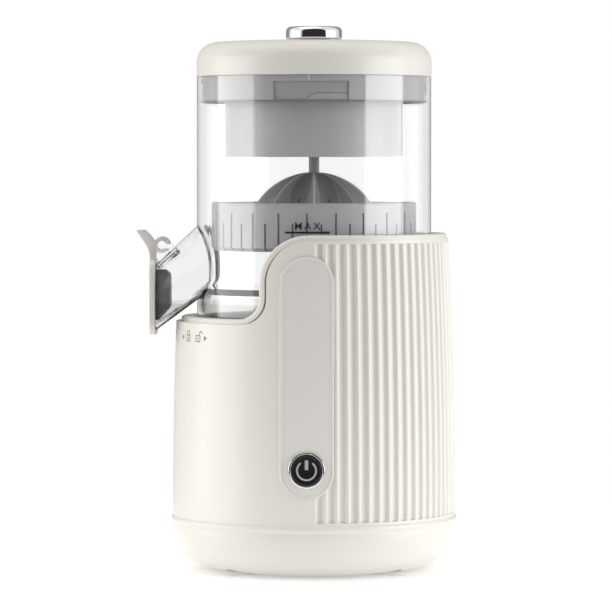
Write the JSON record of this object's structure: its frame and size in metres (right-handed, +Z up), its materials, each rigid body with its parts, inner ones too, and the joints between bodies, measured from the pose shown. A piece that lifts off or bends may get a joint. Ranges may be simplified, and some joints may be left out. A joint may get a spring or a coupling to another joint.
{
  "type": "citrus press juicer",
  "caption": "Cordless citrus press juicer: ribbed body, clear spouted cup with strainer and ribbed reamer, and a screw-down press lid.",
  "frame": {"origin": "on the reamer's axis, in the plane of the feet", "axes": "+Z up along the reamer's axis; the spout points to -X and the power button faces -Y"},
  "size_m": [0.144, 0.1296, 0.2433],
  "materials": {
    "body_plastic": "warm ivory, satin gloss",
    "panel_plastic": "pale warm grey, satin",
    "liner_plastic": "warm ivory, satin gloss",
    "bright_metal": "bright chrome",
    "button_plastic": "gloss black",
    "foot_rubber": "matte dark",
    "screw_steel": "plain zinc",
    "motor_steel": "plain",
    "bush_brass": "machined",
    "board": "green lacquer",
    "inner_plastic": "moulded black",
    "gear_plastic": "natural acetal",
    "cell_wrap": "shrink sleeve",
    "seal_silicone": "translucent silicone",
    "dark_silicone": "matte warm grey",
    "cup_clear": "clear, polished",
    "grey_plastic": "mid grey, fine satin",
    "dark_plastic": "dark grey, satin"
  },
  "bodies": {
    "base": {"base_pan": "body_plastic", "feet": "foot_rubber", "pan_screws": "screw_steel", "body_shell": "body_plastic", "control_panel": "panel_plastic", "button_bezel": "bright_metal", "control_board": "board", "board_switch": "inner_plastic", "cup_well": "liner_plastic", "shaft_bush": "bush_brass", "shaft_seal": "dark_silicone", "gear_case": "inner_plastic", "motor_can": "motor_steel", "motor_screws": "screw_steel", "idler_pin": "screw_steel", "cell_holder": "inner_plastic", "battery_cells": "cell_wrap", "port_surround": "inner_plastic", "charge_port": "motor_steel"},
    "button": {"power_button": "button_plastic"},
    "motor": {"motor_rotor": "motor_steel", "motor_pinion": "bush_brass"},
    "idler": {"idler_gear": "gear_plastic"},
    "output": {"output_gear": "gear_plastic", "output_shaft": "screw_steel"},
    "seat": {"seat_ring": "seal_silicone"},
    "cup": {"juice_cup": "cup_clear", "strainer": "grey_plastic"},
    "reamer": {"reamer": "dark_plastic", "reamer_stem": "dark_plastic"},
    "spout_cap": {"spout_cap": "body_plastic", "spout_plug": "dark_silicone"},
    "lid_gasket": {"lid_gasket": "dark_silicone"},
    "lid": {"lid_cover": "body_plastic", "lid_skirt": "grey_plastic", "skirt_screws": "screw_steel"},
    "press_screw": {"press_screw": "inner_plastic", "knob_screw": "screw_steel", "knob": "bright_metal"},
    "press": {"press_block": "grey_plastic"}
  },
  "joints": [
    {"name": "button_press", "type": "slide", "parent": "base", "child": "button", "axis": [0.0523, 0.9986, 0], "range_m": [0, 0.0008], "stiffness_N_per_m": 600, "springref_m": -0.0005},
    {"name": "motor_spin", "type": "hinge", "parent": "base", "child": "motor", "pos_m": [-0.02078, 0.018, 0.076], "axis": [0, 0, 1], "continuous": true},
    {"name": "idler_spin", "type": "hinge", "parent": "base", "child": "idler", "pos_m": [0, 0.03, 0.085], "axis": [0, 0, 1], "continuous": true},
    {"name": "output_spin", "type": "hinge", "parent": "base", "child": "output", "pos_m": [0, 0, 0.0925], "axis": [0, 0, 1], "continuous": true},
    {"name": "cup_twist", "type": "hinge", "parent": "base", "child": "seat", "pos_m": [0, 0, 0.1], "axis": [0, 0, 1], "range_deg": [0, 25]},
    {"name": "cup_lift", "type": "slide", "parent": "seat", "child": "cup", "axis": [0, 0, 1], "range_m": [0, 0.06]},
    {"name": "reamer_spin", "type": "hinge", "parent": "cup", "child": "reamer", "pos_m": [0, 0, 0.157], "axis": [0, 0, 1], "continuous": true},
    {"name": "spout_cap_swing", "type": "hinge", "parent": "cup", "child": "spout_cap", "pos_m": [-0.0682, 0, 0.1455], "axis": [0, 1, 0], "range_deg": [0, 100]},
    {"name": "lid_twist", "type": "hinge", "parent": "cup", "child": "lid_gasket", "pos_m": [0, 0, 0.209], "axis": [0, 0, 1], "range_deg": [0, 22]},
    {"name": "lid_lift", "type": "slide", "parent": "lid_gasket", "child": "lid", "axis": [0, 0, 1], "range_m": [0, 0.06]},
    {"name": "press_screw_turn", "type": "hinge", "parent": "lid", "child": "press_screw", "pos_m": [0, 0, 0.235], "axis": [0, 0, 1], "range_deg": [0, 720]},
    {"name": "press_slide", "type": "slide", "parent": "lid", "child": "press", "axis": [0, 0, -1], "range_m": [0, 0.018]}
  ],
  "couplings": [
    {"joint": "reamer_spin", "follows": "motor_spin", "ratio": 0.0625},
    {"joint": "output_spin", "follows": "motor_spin", "ratio": 0.0625},
    {"joint": "idler_spin", "follows": "motor_spin", "ratio": -0.25},
    {"joint": "press_slide", "follows": "press_screw_turn", "m_per_rad": 0.0014324}
  ]
}
